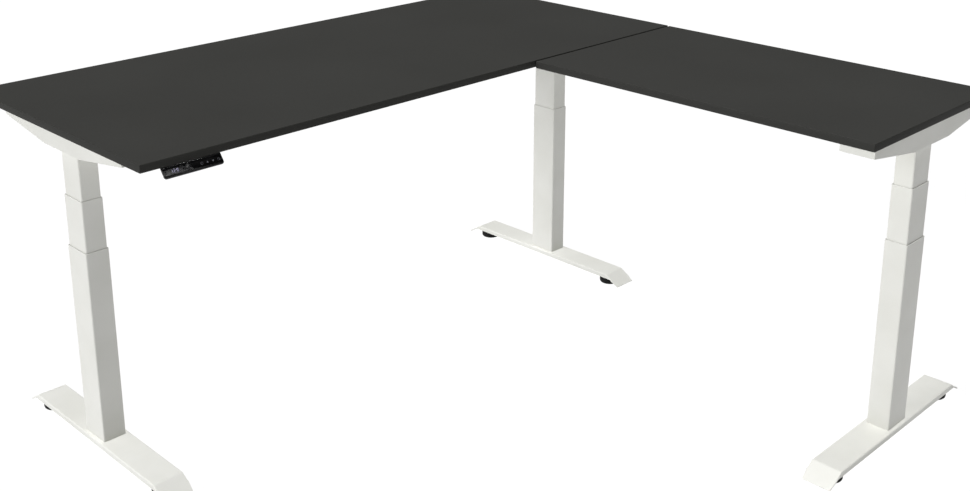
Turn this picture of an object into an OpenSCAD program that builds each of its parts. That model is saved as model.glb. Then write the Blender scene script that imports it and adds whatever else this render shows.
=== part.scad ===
// Height adjustable standing desk: two tops in an L on three electric columns of three stages.
// Millimetres. +Z is up, the floor is Z = 0, and X runs along the main top.

/* [Tops] */
// Length of the main top along X
main_l = 1800; // [1500:10:2200]
// Depth of the main top along Y
main_d = 800; // [660:10:1000]
// Length of the return top along Y
return_l = 1000; // [800:10:1400]
// Depth of the return top along X
return_d = 600; // [500:10:800]
// Thickness of both tops
top_t = 19; // [18:0.5:30]
// Gap between the two tops
top_gap = 7.3; // [2:0.1:12]
// Step from the main top's end to the return top's outer edge
return_step = 2.5; // [0:0.5:20]
// Thickness of the plastic edge band
band_t = 2; // [1:0.5:3]

/* [Height] */
// Height of the top surface above the floor, as the desk stands
desk_h = 863.5; // [660:0.5:1300]
// Height of the top surface with the columns closed
lowest_h = 658.5; // [655:0.5:680]
// Height of the outer tubes' mouths above the floor
mouth_h = 541.6; // [480:0.1:580]
// Length of the middle tubes
middle_l = 480; // [420:1:500]
// Length of the inner tubes
inner_l = 465; // [400:1:500]
// Middle tube that shows above the mouth on the main legs with the columns closed
main_low_show = 26.7; // [10:0.1:28]
// Middle tube that shows above the mouth on the return leg with the columns closed
return_low_show = 39.9; // [10:0.1:40]

/* [Columns] */
// Width of the outer tube, across the foot
tube_w = 60; // [58:1:76]
// Depth of the outer tube, along the foot
tube_d = 90; // [86:1:110]
// Wall of every tube
tube_t = 1.5; // [1.2:0.1:2]
// Outer corner radius of every tube
tube_r = 4; // [2.5:0.5:6]
// Gap between one tube and the next
tube_gap = 1; // [0.6:0.1:1.5]
// Play between a slide guide and the tube that runs in it
guide_play = 0.1; // [0.05:0.05:0.3]
// Height of each slide guide
guide_h = 50; // [30:1:60]
// Thickness of the plates welded in the tubes' ends
end_plate_t = 5; // [4:0.5:8]
// Left end of the main top to the left column's centre
left_inset = 67; // [60:1:200]
// Right end of the main top to the corner column's centre
corner_inset = 86.8; // [60:0.1:200]
// End of the return top to the return column's centre
return_inset = 51.2; // [46:0.1:200]

/* [Spindles] */
// Radius of the upper spindle
upper_spindle_r = 6.2; // [5:0.1:6.5]
// Length of the upper spindle
upper_spindle_l = 404; // [380:1:420]
// Radial room between the upper spindle and the hollow lower spindle
spindle_room = 0.8; // [0.4:0.1:1]
// Wall of the hollow lower spindle
lower_spindle_t = 3; // [2:0.1:3.5]
// Length of the lower spindle
lower_spindle_l = 460; // [430:1:465]
// Radial play of the spindles in their nuts
nut_play = 0.3; // [0.2:0.05:0.5]
// Radial room between the lower spindle and the base nut's post
post_room = 2.5; // [1:0.1:3]
// Wall of the post under the base nut
base_post_t = 2.5; // [2:0.1:3]
// Height of the base nut's post with its nut
base_post_h = 380; // [350:1:400]
// Height of the nuts
nut_h = 20; // [15:1:25]
// Radial step from the base nut's post to the nut itself
nut_step = 2; // [1:0.1:2.5]
// Radial room between the base nut and the middle nut's post
nut_room = 1.5; // [1:0.1:2]
// Wall of the post under the middle nut
middle_post_t = 2.5; // [2:0.1:3]
// Height of the middle nut's post with its nut
middle_post_h = 445; // [430:1:460]
// Height of the collar that hangs the lower spindle
collar_h = 8; // [5:1:10]

/* [Feet] */
// Length of the flat part of each foot
foot_l = 580; // [540:5:680]
// Width of each foot
foot_w = 80; // [78:1:100]
// Height of the foot's flat above the floor
foot_h = 40.4; // [39:0.1:50]
// Thickness of the foot's sheet
foot_t = 3; // [2:0.5:3.5]
// Height of the foot's folded side walls
foot_wall_h = 13.4; // [8:0.1:14]
// Outer radius of the foot's folds
foot_fold_r = 3.5; // [3:0.5:5]
// Reach of each nose beyond the flat
nose_out = 47; // [30:1:55]
// Drop of each nose
nose_drop = 30; // [15:1:31]
// Width of each nose's tip
nose_tip_w = 73; // [60:1:80]
// Foot's centre to each glide's centre
glide_off = 272; // [180:1:274]
// Radius of the glides
glide_r = 31; // [24:1:31]
// Height of a glide's pad, neck and all
glide_h = 27; // [22:0.5:27]
// Radius of a glide's threaded stud
glide_stud_r = 4; // [3:0.5:5]

/* [Arms and rails] */
// Length of each arm
arm_l = 560; // [500:5:640]
// Width of each arm
arm_w = 86; // [84:1:110]
// Height of each arm over the column
arm_h = 53; // [52:1:70]
// Height of each arm at its ends
arm_end_h = 23; // [18:1:30]
// Length of the level part of an arm's underside
arm_level_l = 170; // [120:1:200]
// Thickness of the arms' and rails' sheet
sheet_t = 2.5; // [2:0.5:3]
// Width of the flanges that carry the tops
flange_w = 14; // [12:1:16]
// Width of each rail
rail_w = 40; // [34:1:60]
// Height of each rail
rail_h = 30; // [25:1:35]
// Distance between the main rails' centres
main_rail_pitch = 300; // [200:5:320]
// Distance between the return rails' centres
return_rail_pitch = 240; // [160:5:260]

/* [Drives] */
// Width of a gearbox, across the foot
gearbox_w = 44; // [40:1:50]
// Depth of a gearbox, along the foot
gearbox_d = 50; // [44:1:52]
// Height of a gearbox
gearbox_h = 43; // [40:1:46]
// Radius of a drive motor
motor_r = 18; // [14:0.5:18]
// Length of a drive motor
motor_l = 88; // [60:1:92]
// Length of the control box
control_l = 290; // [200:5:340]
// Depth of the control box
control_d = 110; // [90:1:130]
// Height of the control box
control_h = 34; // [30:1:45]
// Left end of the main top to the control box's centre
control_x = 860; // [600:5:1100]

/* [Handset] */
// Width of the handset
handset_w = 147; // [120:1:170]
// Left end of the main top to the handset's centre
handset_x = 122; // [100:1:600]
// Reach of the handset's lip in front of the top
lip_out = 15.5; // [10:0.5:22]
// Drop of the handset's lip below the top
lip_drop = 20.7; // [14:0.1:24]
// Depth of the handset under the top
handset_d = 48; // [40:1:70]
// Drop of the handset's body below the tops' underside
handset_drop = 10; // [8:0.5:12]
// Step from each end of the handset's face to its body
handset_step = 16; // [10:0.5:18]
// Thickness of the handset's face
handset_face_t = 3.5; // [3:0.1:5]
// Corner radius of the handset's lower corners
handset_r = 6; // [3:0.5:8]
// Thickness of the handset's front panel
panel_t = 1.2; // [0.8:0.1:2]
// Frame of the case around the front panel
panel_margin = 2.5; // [1.5:0.5:4]

/* [Fasteners] */
// Radius of the board screws
screw_r = 2; // [1.5:0.1:2.5]
// Depth of the board screws in the tops
screw_depth = 13; // [10:1:14]
// Radius of the bolts in the arms
arm_bolt_r = 2.9; // [2.4:0.1:3.4]
// Radius of the bolts in the feet
foot_bolt_r = 3.9; // [2.9:0.1:4.4]
// Play of a fastener in its hole
hole_play = 0.1; // [0.05:0.05:0.5]

/* [Hidden] */
$fn = 48;
joint_play = 0.2;      // sideways room between pieces that only lie next to each other
leg_names = ["left", "corner", "return"];
leg_pieces = ["foot", "foot_bolts", "outer_tube", "outer_guides", "base_nut", "middle_tube",
              "middle_guides", "middle_nut", "lower_spindle", "upper_spindle", "inner_tube",
              "gearbox", "motor", "arm"];
glide_ends = [["front", "rear"], ["front", "rear"], ["right", "left"]];

// heights
under_h = desk_h - top_t;
arm_floor_h = under_h - arm_h;
base_floor_h = foot_h + end_plate_t;

// places of the three legs, from the main top's front left corner
return_x = main_l - return_step - return_d / 2;
leg_x = [left_inset, main_l - corner_inset, return_x];
leg_y = [main_d / 2, main_d / 2, return_inset - return_l - top_gap];
leg_turn = [0, 0, 90];
low_show = [main_low_show, main_low_show, return_low_show];

// the middle of everything the desk covers, which becomes the origin
foot_reach = foot_l / 2 + nose_out;
low_x = min(0, left_inset - foot_w / 2, return_x - foot_reach);
high_x = max(main_l, return_x + foot_reach);
low_y = min(-top_gap - return_l, main_d / 2 - foot_reach);
high_y = max(main_d, main_d / 2 + foot_reach);
mid_x = (low_x + high_x) / 2;
mid_y = (low_y + high_y) / 2;

// the three tubes, each a gap and a wall inside the last
stage_step = 2 * (tube_t + tube_gap);
stage_w = [tube_w, tube_w - stage_step, tube_w - 2 * stage_step];
stage_d = [tube_d, tube_d - stage_step, tube_d - 2 * stage_step];
cavity_r = tube_r - tube_t;

// spindles and posts, each around the last
lower_bore_r = upper_spindle_r + spindle_room;
lower_spindle_r = lower_bore_r + lower_spindle_t;
base_post_bore_r = lower_spindle_r + post_room;
base_post_r = base_post_bore_r + base_post_t;
middle_post_bore_r = base_post_r + nut_step + nut_room;
middle_post_r = middle_post_bore_r + middle_post_t;

// bolts at the columns' ends
bolt_head_h = 4.5;
bolt_head_grow = 2.5;
column_bolt_x = stage_w[2] / 2 - tube_t - 8.5;
column_bolt_y = stage_d[2] / 2 - tube_t - 7.5;
foot_bolt_x = stage_w[0] / 2 - tube_t - 10.5;
foot_bolt_y = stage_d[0] / 2 - tube_t - 10.5;
gearbox_flange_t = 5;
gearbox_flange_w = max(gearbox_w + 2, 2 * column_bolt_x + 14);
gearbox_flange_d = max(gearbox_d + 2, 2 * column_bolt_y + 14);

// arms
arm_slope = (arm_h - arm_end_h) / ((arm_l - arm_level_l) / 2);
flange_from = 0.6 * arm_level_l;
arm_screw_x = arm_w / 2 - sheet_t - flange_w / 2;
arm_screw_y = arm_l / 2 - 75;

// rails, all with their webs against the tops
main_rail_y = [for (side = [-1, 1]) main_d / 2 + side * main_rail_pitch / 2];
main_rail_from = leg_x[0] + arm_w / 2;
main_rail_l = leg_x[1] - arm_w / 2 - main_rail_from;
return_rail_x = [for (side = [-1, 1]) return_x + side * return_rail_pitch / 2];
return_rail_from = leg_y[2] + arm_w / 2;
return_rail_l = main_rail_y[0] - rail_w / 2 - return_rail_from;
rail_bolt_off = rail_w / 2 - sheet_t - 8;
rail_bolt_drop = rail_h / 2 + 3;

// board screws, as places in plan
rail_screw_shares = [0.12, 0.5, 0.88];
main_screws = concat(
    [for (y = main_rail_y) for (share = rail_screw_shares) [main_rail_from + share * main_rail_l, y]],
    [for (x = return_rail_x) [x, (main_rail_y[0] - rail_w / 2) / 2]],
    [for (leg = [0:1]) for (sx = [-1, 1]) for (sy = [-1, 1])
        [leg_x[leg] + sx * arm_screw_x, leg_y[leg] + sy * arm_screw_y]]);
return_screws = concat(
    [for (x = return_rail_x) for (share = rail_screw_shares) [x, -top_gap - share * (return_l - arm_w)]],
    [for (sx = [-1, 1]) for (sy = [-1, 1])
        [leg_x[2] + sx * arm_screw_y, leg_y[2] + sy * arm_screw_x]]);
control_ear = 14;
control_screws = [for (side = [-1, 1])
    [control_x + side * (control_l / 2 + control_ear / 2), main_d / 2]];
handset_screws = [for (side = [-1, 1]) [handset_x + side * handset_w / 3, handset_d - 12]];
screw_head_r = 4;
screw_head_h = 2.5;

// handset
lip_angle = atan2(lip_out, lip_drop);
face_l = norm([lip_out, lip_drop]);
handset_floor_t = 2.5;

frame_white = [0.91, 0.91, 0.88];
anthracite = [0.26, 0.26, 0.25];
steel = [0.62, 0.63, 0.64];
guide_grey = [0.30, 0.30, 0.31];
black = [0.03, 0.03, 0.03];

// ---- shared shapes ----

module rounded(w, d, r) {
    hull()
        for (sx = [-1, 1], sy = [-1, 1])
            translate([sx * (w / 2 - r), sy * (d / 2 - r)])
                circle(r, $fn = 24);
}

module tube(stage, low, length) {
    translate([0, 0, low])
        linear_extrude(length)
            difference() {
                rounded(stage_w[stage], stage_d[stage], tube_r);
                rounded(stage_w[stage] - 2 * tube_t, stage_d[stage] - 2 * tube_t, cavity_r);
            }
}

// plate that closes a tube's end, with a round hole and four bolt holes
module end_plate(stage, low, hole_r, bolt_x, bolt_y, bolt_r) {
    translate([0, 0, low])
        difference() {
            linear_extrude(end_plate_t)
                rounded(stage_w[stage] - 2 * tube_t, stage_d[stage] - 2 * tube_t, cavity_r);
            if (hole_r > 0)
                translate([0, 0, -1])
                    cylinder(h = end_plate_t + 2, r = hole_r);
            if (bolt_r > 0)
                at_corners(bolt_x, bolt_y)
                    translate([0, 0, -1])
                        cylinder(h = end_plate_t + 2, r = bolt_r + hole_play);
        }
}

module at_corners(x, y) {
    for (sx = [-1, 1], sy = [-1, 1])
        translate([sx * x, sy * y, 0])
            children();
}

// guide against the cavity of a tube, around the next tube in
module mouth_guide(stage, top) {
    translate([0, 0, top - guide_h])
        linear_extrude(guide_h - 1)
            difference() {
                rounded(stage_w[stage] - 2 * tube_t, stage_d[stage] - 2 * tube_t, cavity_r);
                rounded(stage_w[stage + 1] + 2 * guide_play, stage_d[stage + 1] + 2 * guide_play,
                        tube_r + guide_play);
            }
}

// guide around the lower end of a tube, inside the cavity of the tube outside it
module end_guide(stage, low) {
    translate([0, 0, low])
        linear_extrude(guide_h)
            difference() {
                rounded(stage_w[stage] + 2 * (tube_gap - guide_play),
                        stage_d[stage] + 2 * (tube_gap - guide_play), tube_r);
                rounded(stage_w[stage], stage_d[stage], tube_r);
            }
}

// bolt with its head up at z = 0 and its shank down
module bolt(r, length) {
    cylinder(h = bolt_head_h, r = r + bolt_head_grow);
    translate([0, 0, -length])
        cylinder(h = length, r = r);
}

module centred() {
    translate([-mid_x, -mid_y, 0])
        children();
}

module on_leg(leg) {
    centred()
        translate([leg_x[leg], leg_y[leg], 0])
            rotate(leg_turn[leg])
                children();
}

// ---- tops ----

module board(x, y, l, d, screws) {
    difference() {
        translate([x + band_t, y + band_t, under_h])
            cube([l - 2 * band_t, d - 2 * band_t, top_t]);
        for (place = screws)
            translate([place[0], place[1], under_h - 1])
                cylinder(h = screw_depth + 1.5, r = screw_r + hole_play, $fn = 24);
    }
}

module main_top() {
    color(anthracite)
        board(0, 0, main_l, main_d, concat(main_screws, control_screws, handset_screws));
}

module return_top() {
    color(anthracite)
        board(main_l - return_step - return_d, -top_gap - return_l, return_d, return_l, return_screws);
}

module band(x, y, l, d) {
    for (far = [0, 1]) {
        translate([x, y + far * (d - band_t), under_h])
            cube([l, band_t, top_t]);
        translate([x + far * (l - band_t), y + band_t, under_h])
            cube([band_t, d - 2 * band_t, top_t]);
    }
}

module edge_bands() {
    color(anthracite) {
        band(0, 0, main_l, main_d);
        band(main_l - return_step - return_d, -top_gap - return_l, return_d, return_l);
    }
}

// ---- foot ----

module foot_section(w, h, r) {
    hull() {
        for (side = [-1, 1])
            translate([side * (w / 2 - r), -r])
                circle(r, $fn = 24);
        translate([-w / 2, -h])
            square([w, h / 2]);
    }
}

module foot_channel() {
    translate([0, foot_l / 2, foot_h])
        rotate([90, 0, 0])
            linear_extrude(foot_l)
                difference() {
                    foot_section(foot_w, foot_wall_h, foot_fold_r);
                    translate([0, -foot_t])
                        foot_section(foot_w - 2 * foot_t, foot_wall_h, foot_fold_r - foot_t + 0.3);
                }
}

nose_l = norm([nose_out, nose_drop]);
nose_angle = atan2(nose_drop, nose_out);

// the side walls taper away under the noses, from the crease to here
nose_wall_l = foot_wall_h / tan(nose_angle);

module nose() {
    translate([0, foot_l / 2, foot_h]) {
        rotate([-nose_angle, 0, 0])
            translate([0, 0, -foot_t])
                linear_extrude(foot_t)
                    polygon([[-foot_w / 2, 0], [foot_w / 2, 0],
                             [foot_w / 2, nose_wall_l / cos(nose_angle)],
                             [nose_tip_w / 2, nose_l], [-nose_tip_w / 2, nose_l],
                             [-foot_w / 2, nose_wall_l / cos(nose_angle)]]);
        for (side = [-1, 1])
            translate([side * (foot_w - foot_t) / 2, 0, 0])
                rotate([90, 0, 90])
                    linear_extrude(foot_t, center = true)
                        polygon([[-1, -foot_wall_h], [nose_wall_l, -foot_wall_h], [0, 0],
                                 [-1, -foot_fold_r]]);
    }
}

glide_nut_r = 9;
glide_nut_low = glide_h + 0.3;

module foot() {
    color(frame_white)
        difference() {
            union() {
                foot_channel();
                for (turn = [0, 180])
                    rotate(turn) {
                        nose();
                        translate([0, glide_off, glide_nut_low])
                            cylinder(h = foot_h - foot_t - glide_nut_low + 0.5, r = glide_nut_r);
                    }
            }
            for (turn = [0, 180])
                rotate(turn)
                    translate([0, glide_off, 0])
                        cylinder(h = foot_h - foot_t, r = glide_stud_r + nut_play);
            at_corners(foot_bolt_x, foot_bolt_y)
                cylinder(h = foot_h + 1, r = foot_bolt_r + hole_play);
        }
}

module foot_bolts() {
    color(steel)
        at_corners(foot_bolt_x, foot_bolt_y)
            translate([0, 0, foot_h - foot_t])
                mirror([0, 0, 1])
                    bolt(foot_bolt_r, foot_t + end_plate_t);
}

module glide() {
    color(black) {
        rotate_extrude()
            polygon([[0, 0], [glide_r - 5, 0], [glide_r - 2, 1.2], [glide_r, 4], [glide_r, glide_h - 11],
                     [glide_r - 4, glide_h - 8], [glide_nut_r + 4, glide_h - 4], [glide_nut_r, glide_h - 3],
                     [glide_nut_r, glide_h], [0, glide_h]]);
        translate([0, 0, glide_h - 1])
            cylinder(h = foot_h - foot_t - glide_h + 0.8, r = glide_stud_r);
    }
}

// ---- column ----

module outer_tube() {
    color(frame_white) {
        tube(0, foot_h, mouth_h - foot_h);
        end_plate(0, foot_h, 0, foot_bolt_x, foot_bolt_y, foot_bolt_r);
    }
}

module outer_guides() {
    color(guide_grey)
        mouth_guide(0, mouth_h);
}

// post that stands on the base with the lower nut at its top
module base_nut() {
    nut_r = base_post_r + nut_step;
    color(steel)
        translate([0, 0, base_floor_h])
            rotate_extrude()
                polygon([[base_post_bore_r, 0], [base_post_r, 0], [base_post_r, base_post_h - nut_h],
                         [nut_r, base_post_h - nut_h], [nut_r, base_post_h],
                         [lower_spindle_r + nut_play, base_post_h],
                         [lower_spindle_r + nut_play, base_post_h - nut_h],
                         [base_post_bore_r, base_post_h - nut_h]]);
}

// the middle tubes rise by half as much as the tops
function middle_low(leg) = mouth_h + low_show[leg] + (desk_h - lowest_h) / 2 - middle_l;

module middle_tube(leg) {
    color(frame_white) {
        tube(1, middle_low(leg), middle_l);
        end_plate(1, middle_low(leg), middle_post_bore_r, 0, 0, 0);
    }
}

module middle_guides(leg) {
    color(guide_grey) {
        mouth_guide(1, middle_low(leg) + middle_l);
        end_guide(1, middle_low(leg));
    }
}

// the post that carries the middle nut also holds the lower spindle's collar on a ledge
collar_grow = 4;
collar_room = collar_h + 1;
ledge_t = 6;

module middle_nut(leg) {
    nut_low = middle_post_h - nut_h;
    ledge_top = nut_low - collar_room;
    ledge_r = lower_spindle_r + 2 * nut_play;
    color(steel)
        translate([0, 0, middle_low(leg) + end_plate_t])
            rotate_extrude()
                polygon([[middle_post_bore_r, 0], [middle_post_r, 0], [middle_post_r, middle_post_h],
                         [upper_spindle_r + nut_play, middle_post_h],
                         [upper_spindle_r + nut_play, nut_low], [middle_post_bore_r, nut_low],
                         [middle_post_bore_r, ledge_top], [ledge_r, ledge_top],
                         [ledge_r, ledge_top - ledge_t], [middle_post_bore_r, ledge_top - ledge_t]]);
}

module lower_spindle(leg) {
    top = middle_low(leg) + end_plate_t + middle_post_h - nut_h - 0.5;
    color(steel)
        translate([0, 0, top - lower_spindle_l])
            rotate_extrude()
                polygon([[lower_bore_r, 0], [lower_spindle_r, 0],
                         [lower_spindle_r, lower_spindle_l - collar_h],
                         [lower_spindle_r + collar_grow, lower_spindle_l - collar_h],
                         [lower_spindle_r + collar_grow, lower_spindle_l],
                         [lower_bore_r, lower_spindle_l]]);
}

spindle_seat = 10;

module upper_spindle() {
    color(steel)
        translate([0, 0, arm_floor_h + sheet_t + spindle_seat - upper_spindle_l])
            cylinder(h = upper_spindle_l, r = upper_spindle_r);
}

module inner_tube() {
    color(frame_white) {
        tube(2, arm_floor_h - inner_l, inner_l);
        end_plate(2, arm_floor_h - end_plate_t, upper_spindle_r + 4, column_bolt_x, column_bolt_y, arm_bolt_r);
    }
}

module inner_guides() {
    color(guide_grey)
        for (leg = [0:2])
            on_leg(leg)
                end_guide(2, arm_floor_h - inner_l);
}

// ---- arm and drive ----

module arm_side(inset) {
    half = arm_l / 2 - inset;
    level = arm_level_l / 2 - inset * arm_slope / 2;
    end_low = arm_end_h - inset * (sqrt(1 + arm_slope * arm_slope) + arm_slope);
    polygon([[-half, 0], [-half, -end_low], [-level, inset - arm_h], [level, inset - arm_h],
             [half, -end_low], [half, 0]]);
}

// extrudes a side view across the arm
module across(w) {
    rotate([90, 0, 90])
        translate([0, 0, -w / 2])
            linear_extrude(w)
                children();
}

module rail_bolt_holes(leg) {
    // the side of the arm, as the leg stands, that faces the middle of the frame
    side = [1, -1, 1][leg];
    offs = leg < 2 ? main_rail_pitch / 2 : return_rail_pitch / 2;
    for (end = [-1, 1], s = [-1, 1])
        translate([side > 0 ? arm_w / 2 + 1 : -arm_w / 2 + sheet_t + 1,
                   end * offs + s * rail_bolt_off, -rail_bolt_drop])
            rotate([0, -90, 0])
                cylinder(h = sheet_t + 2, r = arm_bolt_r + hole_play);
}

module arm(leg) {
    color(frame_white)
        translate([0, 0, under_h])
            difference() {
                union() {
                    difference() {
                        across(arm_w)
                            arm_side(0);
                        across(arm_w - 2 * sheet_t)
                            arm_side(sheet_t);
                        translate([-arm_w / 2 + sheet_t, -arm_l / 2 + sheet_t, -1])
                            cube([arm_w - 2 * sheet_t, arm_l - 2 * sheet_t, 2]);
                    }
                    for (sx = [-1, 1], sy = [-1, 1])
                        translate([sx > 0 ? arm_w / 2 - sheet_t - flange_w : -arm_w / 2 + sheet_t - 0.5,
                                   sy > 0 ? flange_from : -arm_l / 2 + sheet_t, -sheet_t])
                            cube([flange_w + 0.5, arm_l / 2 - sheet_t - flange_from, sheet_t]);
                }
                at_corners(arm_screw_x, arm_screw_y) {
                    translate([0, 0, -sheet_t - 1])
                        cylinder(h = sheet_t + 2, r = screw_r + hole_play, $fn = 24);
                    translate([0, 0, -arm_h - 1])
                        cylinder(h = arm_h - sheet_t - 2, r = screw_head_r + 1.5, $fn = 32);
                }
                translate([0, 0, -arm_h - 1]) {
                    cylinder(h = sheet_t + 2, r = upper_spindle_r + 4);
                    at_corners(column_bolt_x, column_bolt_y)
                        cylinder(h = sheet_t + 2, r = arm_bolt_r + hole_play);
                }
                rail_bolt_holes(leg);
            }
}

module gearbox() {
    color(guide_grey)
        translate([0, 0, arm_floor_h + sheet_t])
            difference() {
                union() {
                    linear_extrude(gearbox_h)
                        rounded(gearbox_w, gearbox_d, 3);
                    linear_extrude(gearbox_flange_t)
                        rounded(gearbox_flange_w, gearbox_flange_d, 3);
                }
                translate([0, 0, -1])
                    cylinder(h = spindle_seat + 2, r = upper_spindle_r + nut_play);
                at_corners(column_bolt_x, column_bolt_y)
                    translate([0, 0, -1])
                        cylinder(h = gearbox_flange_t + 2, r = arm_bolt_r + hole_play);
                at_corners(column_bolt_x, column_bolt_y)
                    translate([0, 0, gearbox_flange_t])
                        cylinder(h = bolt_head_h + 1, r = arm_bolt_r + bolt_head_grow + joint_play);
            }
}

motor_axis_h = under_h - motor_r - 6;

module motor() {
    cap_h = 6;
    color([0.2, 0.2, 0.21])
        translate([0, gearbox_d / 2, motor_axis_h])
            rotate([-90, 0, 0]) {
                cylinder(h = motor_l - cap_h, r = motor_r);
                translate([0, 0, motor_l - cap_h])
                    cylinder(h = cap_h, r = motor_r - 5);
            }
}

// ---- rails ----

// inverted channel along +X from the origin, web up at z = 0, closed by a plate at each end
module rail(l, screws) {
    difference() {
        translate([0, -rail_w / 2, -rail_h])
            cube([l, rail_w, rail_h]);
        translate([sheet_t, -rail_w / 2 + sheet_t, -rail_h - 1])
            cube([l - 2 * sheet_t, rail_w - 2 * sheet_t, rail_h + 1 - sheet_t]);
        for (x = screws)
            translate([x, 0, -sheet_t - 1])
                cylinder(h = sheet_t + 2, r = screw_r + hole_play, $fn = 24);
        for (x = [-1, l - sheet_t - 1], s = [-1, 1])
            translate([x, s * rail_bolt_off, -rail_bolt_drop])
                rotate([0, 90, 0])
                    cylinder(h = sheet_t + 2, r = arm_bolt_r + hole_play);
    }
}

module main_rail(index) {
    color(frame_white)
        translate([main_rail_from, main_rail_y[index], under_h])
            difference() {
                rail(main_rail_l, [for (share = rail_screw_shares) share * main_rail_l]);
                // bolt holes for the return rails, in the front rail's outer wall
                if (index == 0)
                    for (x = return_rail_x, s = [-1, 1])
                        translate([x - main_rail_from + s * rail_bolt_off, -rail_w / 2 - 1, -rail_bolt_drop])
                            rotate([-90, 0, 0])
                                cylinder(h = sheet_t + 2, r = arm_bolt_r + hole_play);
            }
}

module return_rail(index) {
    own_screws = [for (place = concat(return_screws, main_screws))
        if (place[0] == return_rail_x[index]) place[1] - return_rail_from];
    color(frame_white)
        translate([return_rail_x[index], return_rail_from, under_h])
            rotate(90)
                rail(return_rail_l, own_screws);
}

// ---- fasteners of the upper frame ----

module board_screw() {
    translate([0, 0, -screw_head_h])
        cylinder(h = screw_head_h, r = screw_head_r, $fn = 24);
    translate([0, 0, -1])
        cylinder(h = sheet_t + screw_depth + 1, r = screw_r, $fn = 24);
}

// pair of bolts through a rail's end plate, heads inside the rail, along +X
module rail_bolts() {
    for (s = [-1, 1])
        translate([sheet_t, s * rail_bolt_off, -rail_bolt_drop])
            rotate([0, 90, 0])
                bolt(arm_bolt_r, 2 * sheet_t + 4);
}

module frame_screws() {
    color(steel) {
        centred() {
            for (place = concat(main_screws, return_screws, control_screws, handset_screws))
                translate([place[0], place[1], under_h - sheet_t])
                    board_screw();
            for (y = main_rail_y)
                translate([main_rail_from, y, under_h]) {
                    rail_bolts();
                    translate([main_rail_l, 0, 0])
                        rotate(180)
                            rail_bolts();
                }
            for (x = return_rail_x)
                translate([x, return_rail_from, under_h])
                    rotate(90) {
                        rail_bolts();
                        translate([return_rail_l, 0, 0])
                            rotate(180)
                                rail_bolts();
                    }
        }
        for (leg = [0:2])
            on_leg(leg)
                at_corners(column_bolt_x, column_bolt_y)
                    translate([0, 0, arm_floor_h + sheet_t + gearbox_flange_t])
                        bolt(arm_bolt_r, gearbox_flange_t + sheet_t + end_plate_t);
    }
}

// ---- control box and handset ----

module control_box() {
    socket_w = 16;
    color(black)
        translate([control_x, main_d / 2, under_h])
            difference() {
                union() {
                    translate([0, 0, -control_h])
                        linear_extrude(control_h)
                            rounded(control_l, control_d, 8);
                    translate([0, 0, -sheet_t])
                        linear_extrude(sheet_t)
                            rounded(control_l + 2 * control_ear, 30, 6);
                }
                for (side = [-1, 1])
                    translate([side * (control_l + control_ear) / 2, 0, -sheet_t - 1])
                        cylinder(h = sheet_t + 2, r = screw_r + hole_play, $fn = 24);
                // mains inlet, then one socket for each leg and one for the handset
                translate([-control_l / 2 + 20, control_d / 2 - 16, -control_h + 6])
                    cube([27, 20, 20]);
                for (i = [0:3])
                    translate([-control_l / 2 + 70 + i * 40, control_d / 2 - 14, -control_h + 9])
                        cube([socket_w, 20, 12]);
            }
}

// places something on the sloping face: x along the desk, y down the face, z out of it
module on_face() {
    translate([handset_x, 0, under_h])
        rotate([90 - lip_angle, 0, 0])
            rotate([0, 0, 180])
                children();
}

module panel_shape(grow) {
    translate([0, face_l / 2])
        rounded(handset_w - 2 * panel_margin + 2 * grow, face_l - 2 * panel_margin + 2 * grow,
                handset_r - panel_margin);
}

// the face's outline, rounded at its two lower corners and run on past the tops' underside
module face_shape() {
    hull() {
        for (side = [-1, 1])
            translate([side * (handset_w / 2 - handset_r), face_l - handset_r])
                circle(handset_r, $fn = 32);
        translate([-handset_w / 2, -handset_face_t])
            square([handset_w, handset_face_t + 1]);
    }
}

module handset_case() {
    body_from = handset_face_t / 2 / cos(lip_angle);
    color(black)
        difference() {
            union() {
                intersection() {
                    on_face()
                        translate([0, 0, -handset_face_t])
                            linear_extrude(handset_face_t)
                                face_shape();
                    translate([handset_x - handset_w, -2 * lip_out, under_h - 2 * lip_drop])
                        cube([2 * handset_w, 4 * lip_out, 2 * lip_drop]);
                }
                translate([handset_x, 0, under_h])
                    across(handset_w - 2 * handset_step)
                        polygon([[body_from, 0],
                                 [body_from - handset_drop * tan(lip_angle), -handset_drop],
                                 [handset_d - 4, -handset_drop], [handset_d, 4 - handset_drop],
                                 [handset_d, 0]]);
            }
            on_face()
                translate([0, 0, -panel_t])
                    linear_extrude(panel_t + 2)
                        panel_shape(hole_play);
            for (place = handset_screws) {
                translate([place[0], place[1], under_h - lip_drop - 5])
                    cylinder(h = lip_drop + 6, r = screw_r + hole_play, $fn = 24);
                translate([place[0], place[1], under_h - lip_drop - 5])
                    cylinder(h = lip_drop + 5 - handset_floor_t, r = screw_head_r + 0.5, $fn = 24);
            }
        }
}

module handset_panel() {
    color(black)
        on_face()
            translate([0, 0, -panel_t])
                linear_extrude(panel_t)
                    panel_shape(0);
}

// ---- the desk ----

centred() main_top();
centred() return_top();
centred() edge_bands();
centred() main_rail(0);  // main_rail_front
centred() main_rail(1);  // main_rail_rear
centred() return_rail(0);  // return_rail_left
centred() return_rail(1);  // return_rail_right
centred() control_box();
centred() handset_case();
centred() handset_panel();
frame_screws();
inner_guides();

for (leg = [0:2]) {
    name = leg_names[leg];
    for (end = [0, 1])
        on_leg(leg) translate([0, (2 * end - 1) * glide_off, 0]) glide();
    on_leg(leg) foot();
    on_leg(leg) foot_bolts();
    on_leg(leg) outer_tube();
    on_leg(leg) outer_guides();
    on_leg(leg) base_nut();
    on_leg(leg) middle_tube(leg);
    on_leg(leg) middle_guides(leg);
    on_leg(leg) middle_nut(leg);
    on_leg(leg) lower_spindle(leg);
    on_leg(leg) upper_spindle();
    on_leg(leg) inner_tube();
    on_leg(leg) gearbox();
    on_leg(leg) motor();
    on_leg(leg) arm(leg);
}
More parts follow.
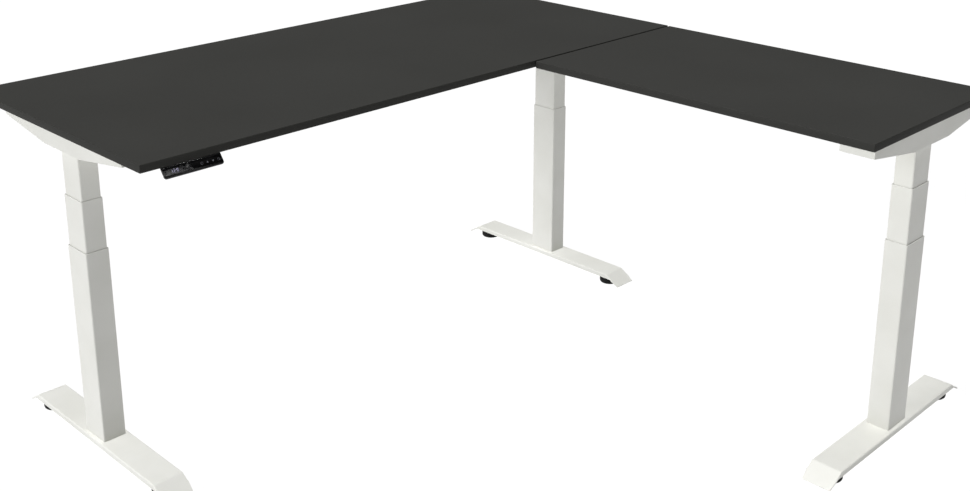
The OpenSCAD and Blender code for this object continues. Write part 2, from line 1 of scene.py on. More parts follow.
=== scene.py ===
import math

import bmesh
import bpy
from mathutils import Matrix, Vector


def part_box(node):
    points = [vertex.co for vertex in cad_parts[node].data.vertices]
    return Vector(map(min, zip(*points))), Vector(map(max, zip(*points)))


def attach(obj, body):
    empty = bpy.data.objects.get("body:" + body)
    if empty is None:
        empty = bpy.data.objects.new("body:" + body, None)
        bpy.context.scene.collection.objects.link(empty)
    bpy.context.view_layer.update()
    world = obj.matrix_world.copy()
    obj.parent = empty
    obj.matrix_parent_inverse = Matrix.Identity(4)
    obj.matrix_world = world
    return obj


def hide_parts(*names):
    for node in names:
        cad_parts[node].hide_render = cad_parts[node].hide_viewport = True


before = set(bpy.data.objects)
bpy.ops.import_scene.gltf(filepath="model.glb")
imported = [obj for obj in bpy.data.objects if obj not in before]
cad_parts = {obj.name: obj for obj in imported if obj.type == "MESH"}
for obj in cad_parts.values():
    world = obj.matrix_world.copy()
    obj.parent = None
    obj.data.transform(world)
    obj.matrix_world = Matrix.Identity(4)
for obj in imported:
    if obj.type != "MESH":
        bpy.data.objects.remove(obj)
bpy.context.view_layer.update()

legs = ["left", "corner", "return"]
glideEnds = {"left": ["front", "rear"], "corner": ["front", "rear"], "return": ["right", "left"]}


# shader maths

class Value:
    # a node's output that can be used in ordinary arithmetic
    def __init__(self, finish, socket):
        self.finish = finish
        self.socket = socket

    def math(self, operation, *values):
        return self.finish.node("ShaderNodeMath", {"operation": operation}, dict(enumerate(values)))

    def __add__(self, other):
        return self.math("ADD", self, other)

    def __sub__(self, other):
        return self.math("SUBTRACT", self, other)

    def __rsub__(self, other):
        return self.math("SUBTRACT", other, self)

    def __mul__(self, other):
        return self.math("MULTIPLY", self, other)

    def __truediv__(self, other):
        return self.math("DIVIDE", self, other)

    def __pow__(self, other):
        return self.math("POWER", self, other)

    __radd__ = __add__
    __rmul__ = __mul__

    def between(self, low, high):
        # 0 at low, 1 at high, held outside them
        return self.finish.node("ShaderNodeMapRange", {"clamp": True},
                                {"Value": self, "From Min": low, "From Max": high})


class Finish:
    # one material, built from its nodes
    def __init__(self, name):
        self.material = bpy.data.materials.new(name)
        self.material.use_nodes = True
        self.tree = self.material.node_tree
        self.tree.nodes.clear()
        self.place = self.node("ShaderNodeTexCoord", out="Object")

    def node(self, kind, settings=None, inputs=None, out=0):
        made = self.tree.nodes.new(kind)
        for name, value in (settings or {}).items():
            setattr(made, name, value)
        for name, value in (inputs or {}).items():
            if isinstance(value, Value):
                self.tree.links.new(value.socket, made.inputs[name])
            else:
                made.inputs[name].default_value = value
        return Value(self, made.outputs[out])

    def noise(self, scale, detail=2.0, stretch=None, roughness=0.5):
        place = self.place
        if stretch:
            place = self.node("ShaderNodeMapping", None, {"Vector": place, "Scale": stretch})
        return self.node("ShaderNodeTexNoise", None,
                         {"Vector": place, "Scale": scale, "Detail": detail, "Roughness": roughness})

    def mix(self, mask, first, second):
        return self.node("ShaderNodeMix", {"data_type": "RGBA"}, {0: mask, 6: first, 7: second}, 2)

    def axis(self, name):
        return self.node("ShaderNodeSeparateXYZ", None, {0: self.place}, name)

    def softEdge(self, radius):
        return self.node("ShaderNodeBevel", {"samples": 4}, {"Radius": radius})

    def edgeMask(self, soft, gain):
        # 1 where the surface turns a corner
        true = self.node("ShaderNodeNewGeometry", out="Normal")
        along = self.node("ShaderNodeVectorMath", {"operation": "DOT_PRODUCT"}, {0: soft, 1: true}, "Value")
        return ((1 - along) * gain).between(0, 1)

    def bump(self, height, distance, normal=None, strength=1.0):
        inputs = {"Height": height, "Distance": distance, "Strength": strength}
        if normal:
            inputs["Normal"] = normal
        return self.node("ShaderNodeBump", None, inputs)

    def close(self, color, roughness, normal=None, **fixed):
        inputs = {"Base Color": color, "Roughness": roughness}
        if normal:
            inputs["Normal"] = normal
        inputs.update(fixed)
        shader = self.node("ShaderNodeBsdfPrincipled", None, inputs)
        self.node2("ShaderNodeOutputMaterial", shader)
        return self.material

    def node2(self, kind, shader):
        made = self.tree.nodes.new(kind)
        self.tree.links.new(shader.socket, made.inputs["Surface"])


def tone(red, green, blue):
    # a colour given as it looks on a screen, 0 to 255
    parts = [part / 255 for part in (red, green, blue)]
    return tuple(p / 12.92 if p <= 0.04045 else ((p + 0.055) / 1.055) ** 2.4 for p in parts) + (1.0,)


# finishes

laminateLook = {"dark": (52, 52, 50), "light": (60, 60, 58), "roughness": 0.62, "fleck": 700, "specular": 0.12}


def laminate():
    f = Finish("anthraciteLaminate")
    fleck = f.noise(laminateLook["fleck"], 3)
    cloud = f.noise(2.5, 2)
    color = f.mix((fleck * 0.75 + cloud * 0.25).between(0.36, 0.66), tone(*laminateLook["dark"]), tone(*laminateLook["light"]))
    rough = laminateLook["roughness"] - 0.06 + fleck * 0.08 + cloud * 0.05
    return f.close(color, rough, f.bump(fleck, 0.00006),
                   **{"Specular IOR Level": laminateLook["specular"]})


bandLook = {"face": (52, 52, 50), "arris": (72, 72, 70), "roughness": 0.6, "specular": 0.08}


def bandPlastic():
    f = Finish("anthraciteBand")
    grain = f.noise(450, 3)
    soft = f.softEdge(0.0012)
    # lighter along the edges: partly edge wear, partly a painted highlight on the rounded arris
    wearAndPaintedHighlight = f.edgeMask(soft, 3.0) * (0.35 + f.noise(35, 3) * 0.5)
    color = f.mix(wearAndPaintedHighlight, tone(*bandLook["face"]), tone(*bandLook["arris"]))
    rough = bandLook["roughness"] - 0.05 + grain * 0.1
    return f.close(color, rough, f.bump(grain, 0.00004), **{"Specular IOR Level": bandLook["specular"]})


paintLook = {"clean": (222, 222, 217), "dull": (215, 215, 209), "wearAndPaintedHighlight": (232, 232, 229), "roughness": 0.42,
             "peel": 950, "specular": 0.4}


def framePaint():
    f = Finish("framePaint")
    peel = f.noise(paintLook["peel"], 2)
    cloud = f.noise(7, 3)
    soft = f.softEdge(0.0011)
    color = f.mix(cloud.between(0.35, 0.7), tone(*paintLook["clean"]), tone(*paintLook["dull"]))
    # edges painted lighter: partly wear, partly a painted edge highlight
    color = f.mix(f.edgeMask(soft, 2.5) * (0.3 + f.noise(60, 3) * 0.6), color, tone(*paintLook["wearAndPaintedHighlight"]))
    # darker and rougher towards the floor, in noisy patches
    nearFloorPatches = (1 - f.axis("Z").between(0.0, 0.05)) * f.noise(40, 4).between(0.45, 0.8) * 0.12
    color = f.mix(nearFloorPatches, color, tone(190, 188, 182))
    rough = paintLook["roughness"] - 0.05 + peel * 0.08 + cloud * 0.06 + nearFloorPatches
    return f.close(color, rough, f.bump(peel, 0.00005, soft), **{"Specular IOR Level": paintLook["specular"]})


def mouldedPlastic(name, color, roughness, grainSize=900, depth=0.00005, specular=0.4):
    f = Finish(name)
    grain = f.noise(grainSize, 2)
    soft = f.softEdge(0.0006)
    lighter = tuple(min(255, part * 1.35 + 10) for part in color)
    # edges painted lighter: partly wear, partly a painted edge highlight
    base = f.mix(f.edgeMask(soft, 2.0) * 0.5, tone(*color), tone(*lighter))
    base = f.mix(f.noise(30, 3).between(0.4, 0.8) * 0.25, base, tone(*lighter))
    rough = roughness - 0.06 + grain * 0.12 + f.noise(55, 3) * 0.06
    return f.close(base, rough, f.bump(grain, depth, soft), **{"Specular IOR Level": specular})


def zincSteel(name, light, dark, roughness):
    f = Finish(name)
    grain = f.noise(260, 4)
    patch = f.noise(70, 3)
    soft = f.softEdge(0.0004)
    color = f.mix(patch.between(0.35, 0.7), tone(*light), tone(*dark))
    # edges painted near-white: partly wear, partly a painted edge highlight
    color = f.mix(f.edgeMask(soft, 2.0) * 0.6, color, tone(235, 235, 232))
    rough = roughness - 0.08 + grain * 0.16
    return f.close(color, rough, f.bump(grain, 0.00003, soft), Metallic=1.0)


threadLook = {"pitch": 0.005, "depth": 0.0006}


def threadSteel():
    f = Finish("spindleSteel")
    height = f.axis("Z")
    turn = (height / threadLook["pitch"]).math("FRACT", height / threadLook["pitch"])
    ridge = (1 - (turn - 0.5).math("ABSOLUTE", turn - 0.5) * 2).between(0.2, 0.75)
    grease = f.noise(45, 4)
    color = f.mix(grease.between(0.4, 0.75), tone(178, 180, 182), tone(138, 134, 122))
    # the thread's grooves are painted darker: painted shade in the recesses
    return f.close(f.mix(1 - ridge, color, tone(92, 90, 84)), 0.26 + grease * 0.2,
                   f.bump(ridge, threadLook["depth"]), Metallic=1.0)


def castMetal():
    f = Finish("gearboxCast")
    grit = f.noise(420, 5, roughness=0.65)
    soft = f.softEdge(0.0009)
    color = f.mix(f.noise(25, 3).between(0.35, 0.7), tone(86, 88, 90), tone(70, 72, 74))
    # edges painted lighter: partly wear, partly a painted edge highlight
    color = f.mix(f.edgeMask(soft, 2.5) * 0.6, color, tone(150, 152, 154))
    return f.close(color, 0.48 + grit * 0.14, f.bump(grit, 0.00015, soft), Metallic=0.75)


def motorPaint():
    f = Finish("motorPaint")
    peel = f.noise(650, 2)
    soft = f.softEdge(0.0008)
    color = f.mix(f.noise(18, 3).between(0.35, 0.7), tone(50, 51, 53), tone(42, 43, 45))
    # edges painted lighter: partly wear, partly a painted edge highlight
    color = f.mix(f.edgeMask(soft, 2.5) * 0.5, color, tone(120, 121, 122))
    return f.close(color, 0.34 + peel * 0.1, f.bump(peel, 0.00004, soft))


glossLook = {"color": (9, 9, 10), "smear": (17, 17, 18), "roughness": 0.12}


def glossBlack(name, roughness, rounding):
    f = Finish(name)
    smear = f.noise(50, 4, (1, 3, 3))
    soft = f.softEdge(rounding)
    color = f.mix(smear.between(0.45, 0.8), tone(*glossLook["color"]), tone(*glossLook["smear"]))
    return f.close(color, roughness + smear.between(0.4, 0.9) * 0.14, f.bump(f.noise(200, 2), 0.00001, soft),
                   **{"Specular IOR Level": 0.5})


def litSegment():
    f = Finish("displayLight")
    speck = f.noise(1500, 2)
    glow = f.mix(speck.between(0.3, 0.7), tone(226, 222, 255), tone(205, 200, 250))
    return f.close(tone(220, 216, 250), 0.4 + speck * 0.1, f.bump(speck, 0.00001),
                   **{"Emission Color": glow, "Emission Strength": 0.35})


def printWithPaintedGlow(name, color, glowing):
    f = Finish(name)
    speck = f.noise(1200, 2)
    inkAndGlow = f.mix(speck.between(0.3, 0.7), tone(*color), tone(*[part * 0.86 for part in color]))
    # printed marks that also give off a faint painted glow from the ink colour
    return f.close(inkAndGlow, 0.42 + speck * 0.1, f.bump(speck, 0.00001),
                   **{"Emission Color": inkAndGlow, "Emission Strength": glowing})


finishes = {
    "desktop": laminate(),
    "edge_band": bandPlastic(),
    "frame_paint": framePaint(),
    "guide_plastic": mouldedPlastic("guidePlastic", (58, 58, 60), 0.5),
    "glide_plastic": mouldedPlastic("glidePlastic", (9, 9, 9), 0.6, 700, 0.0001, 0.15),
    "spindle_steel": threadSteel(),
    "fastener_steel": zincSteel("fastenerSteel", (196, 198, 202), (168, 170, 174), 0.34),
    "gearbox_cast": castMetal(),
    "motor_paint": motorPaint(),
    "black_plastic": mouldedPlastic("boxPlastic", (26, 26, 27), 0.48, 600, 0.00012),
    "handset_black": glossBlack("handsetGloss", 0.2, 0.0016),
    "handset_panel": glossBlack("handsetPanel", 0.1, 0.0003),
    "display": litSegment(),
    "icon": printWithPaintedGlow("printWithPaintedGlow", (98, 98, 104), 0.06),
    "dim": printWithPaintedGlow("dimPrint", (44, 44, 49), 0.03),
}
print("finishes made:", len(finishes))

for name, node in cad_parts.items():
    for holder in node.material_slots:
        if holder.name in finishes:
            holder.material = finishes[holder.name]
        else:
            print("no finish for", name, holder.name)
print("finishes put on the frame")


# making a piece

def legPlace(leg):
    low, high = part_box(leg + "_outer_tube")
    turn = math.radians(90) if leg == "return" else 0
    middle = Vector(((low[0] + high[0]) / 2, (low[1] + high[1]) / 2, 0))
    return Matrix.Translation(middle) @ Matrix.Rotation(turn, 4, "Z")


def piece(name, bm, body, slotName, finish=None, nodes=(), place=None, edge=0.0, wall=0.0, steps=2):
    # bm becomes an object; place moves its points, wall thickens it inwards, edge rounds its edges
    if place:
        bmesh.ops.transform(bm, matrix=place, verts=bm.verts)
    mesh = bpy.data.meshes.new(name)
    for face in bm.faces:
        face.smooth = True
    bm.normal_update()
    if not edge:
        for line in bm.edges:
            line.smooth = line.calc_face_angle(0) < math.radians(35)
    bm.to_mesh(mesh)
    bm.free()
    made = bpy.data.objects.new(name, mesh)
    bpy.context.scene.collection.objects.link(made)
    mesh.materials.append(finishes[finish or slotName])
    if wall:
        thick = made.modifiers.new("wall", "SOLIDIFY")
        thick.thickness = wall
        thick.offset = -1
        thick.use_even_offset = True
    if edge:
        rounding = made.modifiers.new("edges", "BEVEL")
        rounding.width = edge
        rounding.segments = steps
        rounding.limit_method = "ANGLE"
        rounding.angle_limit = math.radians(35)
        rounding.harden_normals = False
        even = made.modifiers.new("shading", "WEIGHTED_NORMAL")
        even.keep_sharp = True
    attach(made, body)
    for node in nodes:
        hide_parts(node)
    return made


def block(bm, size, middle):
    made = bmesh.ops.create_cube(bm, size=1.0)["verts"]
    bmesh.ops.scale(bm, vec=size, verts=made)
    bmesh.ops.translate(bm, vec=middle, verts=made)
    return made


def drum(bm, radius, height, middle, segments=32, top=None):
    made = bmesh.ops.create_cone(bm, cap_ends=True, segments=segments, radius1=radius,
                                 radius2=radius if top is None else top, depth=height)["verts"]
    bmesh.ops.translate(bm, vec=middle, verts=made)
    return made


def lathe(bm, outline, segments=48):
    # outline is radius and height pairs, from the axis out and back to it
    points = [bm.verts.new((radius, 0, height)) for radius, height in outline]
    edges = [bm.edges.new(pair) for pair in zip(points, points[1:])]
    bmesh.ops.spin(bm, geom=points + edges, cent=(0, 0, 0), axis=(0, 0, 1), dvec=(0, 0, 0),
                   angle=math.tau, steps=segments, use_merge=True)
    bmesh.ops.remove_doubles(bm, verts=bm.verts, dist=0.00001)
    bmesh.ops.recalc_face_normals(bm, faces=bm.faces)


# edge bands

edgeBand = {"thickness": 0.002, "arris": 0.0014, "corner": 0.0022}


def makeBand(name, top):
    low, high = [Vector(corner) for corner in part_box(top)]
    t = edgeBand["thickness"]
    size = high - low
    middle = (low + high) / 2
    bm = bmesh.new()
    bmesh.ops.create_grid(bm, x_segments=1, y_segments=1, size=0.5)
    bmesh.ops.scale(bm, vec=(size.x + 2 * t, size.y + 2 * t, 1), verts=bm.verts)
    bmesh.ops.translate(bm, vec=((low.x + high.x) / 2, (low.y + high.y) / 2, low.z), verts=bm.verts)
    bmesh.ops.inset_region(bm, faces=bm.faces[:], thickness=t, use_boundary=True, use_even_offset=True)
    inner = max(bm.faces, key=lambda face: face.calc_area())
    bmesh.ops.delete(bm, geom=[inner], context="FACES")
    ring = bmesh.ops.extrude_face_region(bm, geom=bm.faces[:])["geom"]
    bmesh.ops.translate(bm, vec=(0, 0, size.z), verts=[g for g in ring if isinstance(g, bmesh.types.BMVert)])
    bmesh.ops.recalc_face_normals(bm, faces=bm.faces)
    outerX, outerY = size.x / 2 + t, size.y / 2 + t

    def outside(vert):
        return (abs(abs(vert.co.x - (low.x + high.x) / 2) - outerX) < 1e-5
                or abs(abs(vert.co.y - (low.y + high.y) / 2) - outerY) < 1e-5)

    posts = [e for e in bm.edges if all(outside(v) for v in e.verts)
             and abs(e.verts[0].co.z - e.verts[1].co.z) > 0.001]
    bmesh.ops.bevel(bm, geom=posts, offset=edgeBand["corner"], segments=4, profile=0.5, affect="EDGES", material=-1)
    arrises = [e for e in bm.edges if len(e.link_faces) == 2
               and all(v.co.z > high.z - 0.0001 or v.co.z < low.z + 0.0001 for v in e.verts)
               and abs(e.verts[0].co.z - e.verts[1].co.z) < 0.0001
               and any(abs(f.normal.z) < 0.1 and (f.calc_center_median() - middle).dot(f.normal) > 0 for f in e.link_faces)
               and any(abs(f.normal.z) > 0.9 for f in e.link_faces)]
    bmesh.ops.bevel(bm, geom=arrises, offset=edgeBand["arris"], segments=3, profile=0.5, affect="EDGES", material=-1)
    piece(name, bm, "upper_frame", "edge_band", nodes=["edge_bands"], edge=0.0)


makeBand("mainEdgeBand", "main_top")
makeBand("returnEdgeBand", "return_top")
print("edge bands made")


# feet

foot = {"flat": 0.580, "width": 0.080, "wall": 0.0134, "sheet": 0.003, "fold": 0.0035,
        "noseOut": 0.047, "noseDrop": 0.030, "tipWidth": 0.073,
        "glideOff": 0.272, "nutRadius": 0.009, "nutLow": 0.0273, "edge": 0.0004}


def makeFoot(leg):
    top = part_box(leg + "_foot")[1][2]
    half, wall = foot["flat"] / 2, foot["wall"]
    taper = wall * foot["noseOut"] / foot["noseDrop"]     # the walls run out under the noses
    bm = bmesh.new()
    block(bm, (foot["width"], foot["flat"], wall), (0, 0, top - wall / 2))
    for way in (-1, 1):
        low = [v for v in bm.verts if v.co.y * way > 0 and v.co.z < top - 0.001]
        bmesh.ops.translate(bm, vec=(0, way * taper, 0), verts=low)
    bmesh.ops.delete(bm, geom=[f for f in bm.faces if f.calc_center_median().z < top - wall + 0.0001], context="FACES")
    for way in (-1, 1):
        end = [e for e in bm.edges if all(v.co.y * way > half + taper - 0.0001 for v in e.verts)]
        tip = [g for g in bmesh.ops.extrude_edge_only(bm, edges=end)["geom"] if isinstance(g, bmesh.types.BMVert)]
        bmesh.ops.translate(bm, vec=(0, way * (foot["noseOut"] - taper), wall - foot["noseDrop"]), verts=tip)
        bmesh.ops.scale(bm, vec=(foot["tipWidth"] / foot["width"], 1, 1), verts=tip)
    bmesh.ops.recalc_face_normals(bm, faces=bm.faces)
    if sum(f.normal.z * f.calc_area() for f in bm.faces) < 0:
        bmesh.ops.reverse_faces(bm, faces=bm.faces)
    folds = [e for e in bm.edges if len(e.link_faces) == 2 and e.calc_face_angle(0) > 0.2]
    bmesh.ops.bevel(bm, geom=folds, offset=foot["fold"], segments=5, profile=0.5, affect="EDGES", material=-1)
    piece(leg + "FootChannel", bm, leg + "_base", "frame_paint", nodes=[leg + "_foot"], place=legPlace(leg),
          edge=foot["edge"], wall=foot["sheet"])
    bm = bmesh.new()
    for way in (-1, 1):
        drum(bm, foot["nutRadius"], top - foot["sheet"] - foot["nutLow"],
             (0, way * foot["glideOff"], (top - foot["sheet"] + foot["nutLow"]) / 2), 6)
    piece(leg + "WeldNuts", bm, leg + "_base", "fastener_steel", nodes=[leg + "_foot"], place=legPlace(leg), edge=0.0006)


for leg in legs:
    makeFoot(leg)
print("feet made")


# glides

glide = {"radius": 0.031, "outline": [(0, 0), (0.0235, 0), (0.0262, 0.0004), (0.0284, 0.0014), (0.0299, 0.0030),
                                      (0.0307, 0.0050), (0.031, 0.0072), (0.031, 0.0158), (0.0306, 0.0169),
                                      (0.0297, 0.0178), (0.0272, 0.0190), (0.0140, 0.0228), (0.0108, 0.0236),
                                      (0.0093, 0.0246), (0.009, 0.0262), (0.0086, 0.027), (0.004, 0.027),
                                      (0.004, 0.0368), (0.0036, 0.0372), (0, 0.0372)]}


def makeGlide(leg, end):
    name = leg + "_glide_" + end
    low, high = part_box(name)
    bm = bmesh.new()
    lathe(bm, glide["outline"], 64)
    place = Matrix.Translation(((low[0] + high[0]) / 2, (low[1] + high[1]) / 2, low[2]))
    piece(leg + end.capitalize() + "Glide", bm, leg + "_leveller_" + end, "glide_plastic", nodes=[name], place=place)


for leg in legs:
    for end in glideEnds[leg]:
        makeGlide(leg, end)
print("glides made")


# bolts under the feet

footBolt = {"across": 0.018, "along": 0.033, "head": 0.0045, "flange": 0.0064, "hex": 0.0055, "shank": 0.0039}


def makeFootBolts(leg):
    low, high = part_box(leg + "_foot_bolts")
    seat = low[2] + footBolt["head"]
    bm = bmesh.new()
    for x in (-footBolt["across"], footBolt["across"]):
        for y in (-footBolt["along"], footBolt["along"]):
            drum(bm, footBolt["flange"], 0.0012, (x, y, seat - 0.0006), 32)
            drum(bm, footBolt["hex"], footBolt["head"] - 0.0011, (x, y, seat - 0.0011 - (footBolt["head"] - 0.0011) / 2), 6)
            drum(bm, footBolt["shank"], high[2] - seat, (x, y, (high[2] + seat) / 2), 24)
    piece(leg + "FootBolts", bm, leg + "_base", "fastener_steel", nodes=[leg + "_foot_bolts"], place=legPlace(leg),
          edge=0.0004)


for leg in legs:
    makeFootBolts(leg)
print("foot bolts made")


# motors

motor = {"radius": 0.018, "length": 0.088, "from": 0.025, "rings": 9, "ringStep": 0.0068, "groove": 0.0009,
         "cap": 0.013, "capLength": 0.006}


def makeMotor(leg):
    low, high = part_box(leg + "_motor")
    r, shoulder = motor["radius"], motor["length"] - motor["capLength"]
    outline = [(0, 0), (r - 0.0015, 0), (r, 0.0015)]
    for ring in range(motor["rings"]):
        start = 0.011 + ring * motor["ringStep"]
        outline += [(r, start), (r - motor["groove"], start + 0.0006), (r - motor["groove"], start + 0.0026),
                    (r, start + 0.0032)]
    outline += [(r, shoulder - 0.0016), (r - 0.0004, shoulder - 0.0006), (r - 0.0016, shoulder),
                (motor["cap"], shoulder + 0.0002), (motor["cap"], motor["length"] - 0.0012),
                (motor["cap"] - 0.0012, motor["length"]), (0.006, motor["length"]), (0.006, motor["length"] - 0.002),
                (0, motor["length"] - 0.002)]
    bm = bmesh.new()
    lathe(bm, outline, 56)
    lay = Matrix.Translation((0, motor["from"], (low[2] + high[2]) / 2)) @ Matrix.Rotation(-math.pi / 2, 4, "X")
    piece(leg + "Motor", bm, "upper_frame", "motor_paint", nodes=[leg + "_motor"], place=legPlace(leg) @ lay,
          edge=0.0002, steps=1)


for leg in legs:
    makeMotor(leg)
print("motors made")


# handset

handset = {"lipOut": 0.0155, "lipDrop": 0.0207, "panel": 0.0012, "raised": 0.00012, "face": 0.0035, "corner": 0.006,
           "rounding": 0.0015, "margin": 0.0010, "step": 0.016, "bodyDrop": 0.010,
           "digits": "128", "digitsAt": -0.045, "digitPitch": 0.0070, "digitWidth": 0.0034, "digitHeight": 0.0076,
           "stroke": 0.00048, "arrow": 0.0030, "ring": 0.0031, "mark": 0.0026}
barsOf = {"0": "abcdef", "1": "bc", "2": "abged", "3": "abgcd", "4": "fgbc", "5": "afgcd", "6": "afgedc",
          "7": "abc", "8": "abcdefg", "9": "abcdfg"}
faceAngle = math.atan2(handset["lipOut"], handset["lipDrop"])
faceOut = Vector((0, -math.cos(faceAngle), math.sin(faceAngle)))
faceUp = Vector((0, math.sin(faceAngle), math.cos(faceAngle)))


def facePlace(across, up):
    # on the panel's outer face, turned so that local Z points out of it and local Y up it
    low, high = [Vector(corner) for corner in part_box("handset_panel")]
    middle = (low + high) / 2 + faceOut * (handset["panel"] / 2) + faceUp * up + Vector((across, 0, 0))
    return Matrix.Translation(middle) @ Matrix((Vector((1, 0, 0)), faceUp, faceOut)).transposed().to_4x4()


def makeHandsetCase():
    low, high = [Vector(corner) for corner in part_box("handset_case")]
    width, reach = high.x - low.x, math.hypot(handset["lipOut"], handset["lipDrop"])
    bm = bmesh.new()
    bmesh.ops.create_grid(bm, x_segments=1, y_segments=1, size=0.5)
    bmesh.ops.scale(bm, vec=(width, reach + handset["face"], 1), verts=bm.verts)
    bmesh.ops.translate(bm, vec=(0, handset["face"] / 2, 0), verts=bm.verts)
    bmesh.ops.bevel(bm, geom=[v for v in bm.verts if v.co.y < 0], offset=handset["corner"], segments=8, profile=0.5,
                    affect="VERTICES", material=-1)
    back = bmesh.ops.extrude_face_region(bm, geom=bm.faces[:])["geom"]
    bmesh.ops.translate(bm, vec=(0, 0, -handset["face"]), verts=[g for g in back if isinstance(g, bmesh.types.BMVert)])
    bmesh.ops.recalc_face_normals(bm, faces=bm.faces)
    bmesh.ops.transform(bm, matrix=facePlace(0, 0), verts=bm.verts)
    bmesh.ops.bisect_plane(bm, geom=bm.verts[:] + bm.edges[:] + bm.faces[:], plane_co=(0, 0, high.z),
                           plane_no=(0, 0, 1), clear_outer=True)
    bmesh.ops.holes_fill(bm, edges=[e for e in bm.edges if e.is_boundary])
    bmesh.ops.recalc_face_normals(bm, faces=bm.faces)
    front = max(bm.faces, key=lambda f: f.normal.dot(faceOut) * f.calc_area())
    rim = [e for e in front.edges if not all(v.co.z > high.z - 0.0001 for v in e.verts)]
    bmesh.ops.bevel(bm, geom=rim, offset=handset["rounding"], segments=4, profile=0.5, affect="EDGES", material=-1)
    front = max(bm.faces, key=lambda f: f.normal.dot(faceOut) * f.calc_area())
    bmesh.ops.inset_region(bm, faces=[front], thickness=handset["margin"], use_even_offset=True)
    sunk = bmesh.ops.extrude_face_region(bm, geom=[front])["geom"]
    bmesh.ops.translate(bm, vec=-faceOut * handset["panel"], verts=[g for g in sunk if isinstance(g, bmesh.types.BMVert)])
    start = low.y + handset["lipOut"] + handset["face"] / 2 / math.cos(faceAngle)
    body = block(bm, (width - 2 * handset["step"], high.y - start, handset["bodyDrop"]),
                 ((low.x + high.x) / 2, (high.y + start) / 2, high.z - handset["bodyDrop"] / 2))
    toe = [v for v in body if v.co.y < start + 0.0001 and v.co.z < high.z - 0.001]
    bmesh.ops.translate(bm, vec=(0, -handset["bodyDrop"] * math.tan(faceAngle), 0), verts=toe)
    edges = {e for v in body for e in v.link_edges}
    rear = [e for e in edges if all(v.co.y > high.y - 0.0001 for v in e.verts)
            and not all(v.co.z > high.z - 0.0001 for v in e.verts)]
    bmesh.ops.bevel(bm, geom=rear, offset=0.004, segments=4, profile=0.5, affect="EDGES", material=-1)
    bmesh.ops.recalc_face_normals(bm, faces=bm.faces)
    piece("handsetShell", bm, "upper_frame", "handset_black", nodes=["handset_case"], edge=0.0002, steps=1)


def bar(bm, length, x, y, upright):
    made = bmesh.ops.create_circle(bm, cap_ends=True, segments=6, radius=0.5)["verts"]
    bmesh.ops.scale(bm, vec=(length, handset["stroke"] * 1.15, 1), verts=made)
    if upright:
        bmesh.ops.rotate(bm, cent=(0, 0, 0), matrix=Matrix.Rotation(math.pi / 2, 3, "Z"), verts=made)
    bmesh.ops.translate(bm, vec=(x, y, 0), verts=made)


def liftFaces(bm):
    made = bmesh.ops.extrude_face_region(bm, geom=bm.faces[:])["geom"]
    bmesh.ops.translate(bm, vec=(0, 0, handset["raised"]), verts=[g for g in made if isinstance(g, bmesh.types.BMVert)])
    bmesh.ops.recalc_face_normals(bm, faces=bm.faces)


def makeDigits():
    w, h = handset["digitWidth"], handset["digitHeight"]
    across = {"a": h / 2, "g": 0, "d": -h / 2}
    upright = {"b": (w / 2, h / 4), "c": (w / 2, -h / 4), "e": (-w / 2, -h / 4), "f": (-w / 2, h / 4)}
    bm = bmesh.new()
    for count, digit in enumerate(handset["digits"]):
        x = (count - 1) * handset["digitPitch"]
        for name in barsOf[digit]:
            if name in across:
                bar(bm, w * 0.92, x, across[name], False)
            else:
                bar(bm, h / 2 * 0.92, x + upright[name][0], upright[name][1], True)
    liftFaces(bm)
    piece("heightDigits", bm, "upper_frame", "handset_panel", "display", place=facePlace(handset["digitsAt"], 0.0006))


def makeArrow(name, at, way):
    bm = bmesh.new()
    made = bmesh.ops.create_circle(bm, cap_ends=True, segments=3, radius=handset["arrow"])["verts"]
    bmesh.ops.rotate(bm, cent=(0, 0, 0), matrix=Matrix.Rotation(0 if way > 0 else math.pi, 3, "Z"), verts=made)
    bmesh.ops.inset_region(bm, faces=bm.faces[:], thickness=0.0007, use_boundary=True, use_even_offset=True)
    liftFaces(bm)
    piece(name, bm, "upper_frame", "handset_panel", "icon", place=facePlace(at, 0))


def makeKey(name, at, finish, digit=None):
    bm = bmesh.new()
    bmesh.ops.create_circle(bm, cap_ends=True, segments=28, radius=handset["ring"])
    disc = bm.faces[:]
    bmesh.ops.inset_region(bm, faces=disc, thickness=0.0005, use_boundary=True, use_even_offset=True)
    bmesh.ops.delete(bm, geom=disc, context="FACES")
    if digit:
        bar(bm, handset["mark"], 0.0, 0.0, True)
        if digit == 2:
            bar(bm, handset["mark"], 0.0012, 0.0, True)
    liftFaces(bm)
    piece(name, bm, "upper_frame", "handset_panel", finish, place=facePlace(at, 0))


makeHandsetCase()
makeDigits()
makeKey("alarmKey", -0.023, "dim")
makeKey("lockKey", -0.008, "dim", 1)
makeKey("firstKey", 0.021, "icon", 1)
makeArrow("upKey", 0.035, 1)
makeArrow("downKey", 0.049, -1)
makeKey("secondKey", 0.0635, "icon", 2)
print("handset made")


# floor, light and camera

studio = {"world": 0.08, "key": 1.8, "keyAngle": 30, "keyFrom": (-0.93, 0.25, 0.22),
          "fill": 2.85, "fillAngle": 12, "fillFrom": (0, 0, 1), "floor": (160, 160, 160), "floorGlow": 0.64}

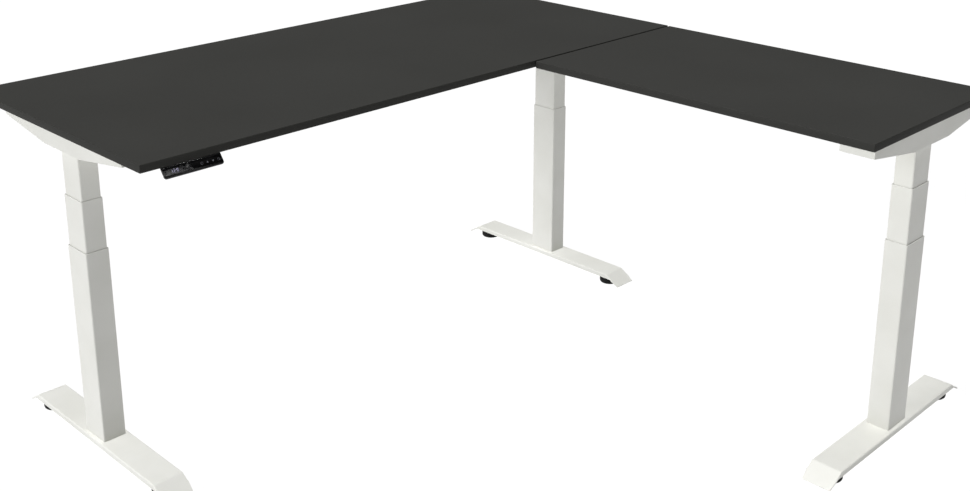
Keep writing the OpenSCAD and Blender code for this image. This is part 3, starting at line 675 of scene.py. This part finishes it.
bm = bmesh.new()
bmesh.ops.create_grid(bm, x_segments=8, y_segments=8, size=9)
floorMesh = bpy.data.meshes.new("floor")
bm.to_mesh(floorMesh)
bm.free()
floor = bpy.data.objects.new("floor", floorMesh)
bpy.context.scene.collection.objects.link(floor)
f = Finish("paleFloor")
floorMesh.materials.append(f.close(tone(*studio["floor"]), 0.8, **{
    "Specular IOR Level": 0.1, "Emission Color": (1, 1, 1, 1), "Emission Strength": studio["floorGlow"]}))

world = bpy.data.worlds.new("studio")
bpy.context.scene.world = world
world.use_nodes = True
nodes, links = world.node_tree.nodes, world.node_tree.links
nodes.clear()
soft = nodes.new("ShaderNodeBackground")
soft.inputs["Color"].default_value = (1, 1, 1, 1)
soft.inputs["Strength"].default_value = studio["world"]
plain = nodes.new("ShaderNodeBackground")
plain.inputs["Color"].default_value = (1, 1, 1, 1)
plain.inputs["Strength"].default_value = 1.05
path = nodes.new("ShaderNodeLightPath")
both = nodes.new("ShaderNodeMixShader")
links.new(path.outputs["Is Camera Ray"], both.inputs["Fac"])
links.new(soft.outputs["Background"], both.inputs[1])
links.new(plain.outputs["Background"], both.inputs[2])
links.new(both.outputs["Shader"], nodes.new("ShaderNodeOutputWorld").inputs["Surface"])


def softSun(name, strength, angle, direction, shadow):
    light = bpy.data.lights.new(name, "SUN")
    light.energy = strength
    light.angle = math.radians(angle)
    light.use_shadow = shadow
    made = bpy.data.objects.new(name, light)
    made.rotation_euler = Vector(direction).to_track_quat("Z", "Y").to_euler()
    bpy.context.scene.collection.objects.link(made)


softSun("keySun", studio["key"], studio["keyAngle"], studio["keyFrom"], True)
softSun("fillSun", studio["fill"], studio["fillAngle"], studio["fillFrom"], False)

view = {"place": (-2.1119, -2.0965, 1.7182), "down": 16.36, "turn": -45.0, "lens": 45.79,
        "shift": (0.0011, -0.1545)}
camera = bpy.data.cameras.new("camera")
camera.lens = view["lens"]
camera.sensor_width = 36
camera.shift_x, camera.shift_y = view["shift"]
camera.clip_end = 60
cameraObject = bpy.data.objects.new("camera", camera)
cameraObject.location = view["place"]
cameraObject.rotation_euler = (math.radians(90 - view["down"]), 0, math.radians(view["turn"]))
bpy.context.scene.collection.objects.link(cameraObject)
bpy.context.scene.camera = cameraObject
bpy.context.scene.view_settings.view_transform = "Standard"
print("studio made")
